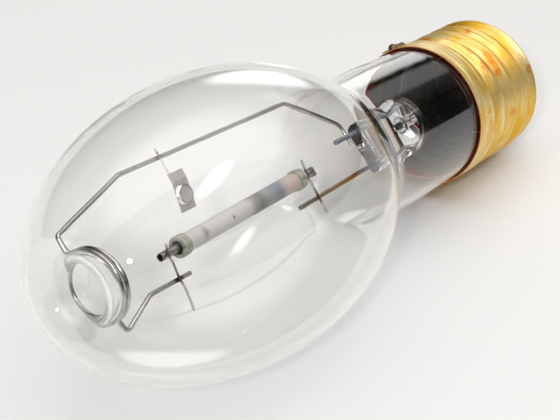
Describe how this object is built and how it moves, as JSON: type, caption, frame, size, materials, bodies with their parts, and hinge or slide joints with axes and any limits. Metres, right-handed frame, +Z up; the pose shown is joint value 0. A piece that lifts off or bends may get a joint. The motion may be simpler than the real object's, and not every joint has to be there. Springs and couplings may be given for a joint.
{
  "type": "high pressure sodium lamp",
  "caption": "Clear elliptical high pressure sodium lamp with a ceramic arc tube on a bent wire frame and a large screw base, lying on its side.",
  "frame": {"origin": "on the bench under the middle of the lamp's bounding box, the lamp lying as it comes to rest", "axes": "+Z up from the bench, +X from the screw base towards the dome, so the lamp's axis climbs from the base to the dome in the XZ plane"},
  "size_m": [0.192, 0.0746, 0.0759],
  "materials": {
    "clear_glass": "clear and polished",
    "black_glass": "glossy black",
    "brass": "bright, lightly stained",
    "solder": "dull silver",
    "nickel_wire": "satin, darker at the welds",
    "tungsten": "dark satin",
    "heat_tinted": "heat-tinted from grey and blue to straw",
    "niobium": "satin",
    "alumina": "translucent white",
    "sealing_frit": "glassy black",
    "getter_powder": "pressed powder, matt",
    "amalgam": "dark liquid metal"
  },
  "bodies": {
    "root": {"outer_bulb": "clear_glass", "stem_glass": "clear_glass", "exhaust_tube": "clear_glass", "frame_lead": "tungsten", "return_lead": "heat_tinted", "frame_wire": "nickel_wire", "getter_wire": "nickel_wire", "getter_plate": "nickel_wire", "getter_fill": "getter_powder", "arc_tube": "alumina", "base_end_cap": "alumina", "dome_end_cap": "alumina", "base_end_plug": "alumina", "dome_end_plug": "alumina", "base_end_frit": "sealing_frit", "dome_end_frit": "sealing_frit", "base_niobium_tube": "niobium", "dome_niobium_tube": "niobium", "amalgam_droplet": "amalgam", "base_end_strap": "niobium", "dome_end_strap": "niobium", "screw_shell": "brass", "base_insulator": "black_glass", "centre_contact": "brass", "contact_solder": "solder", "contact_wire": "nickel_wire", "shell_wire": "nickel_wire", "side_solder": "solder", "base_electrode": "tungsten", "base_electrode_coil": "tungsten", "dome_electrode": "tungsten", "dome_electrode_coil": "tungsten"}
  },
  "joints": []
}
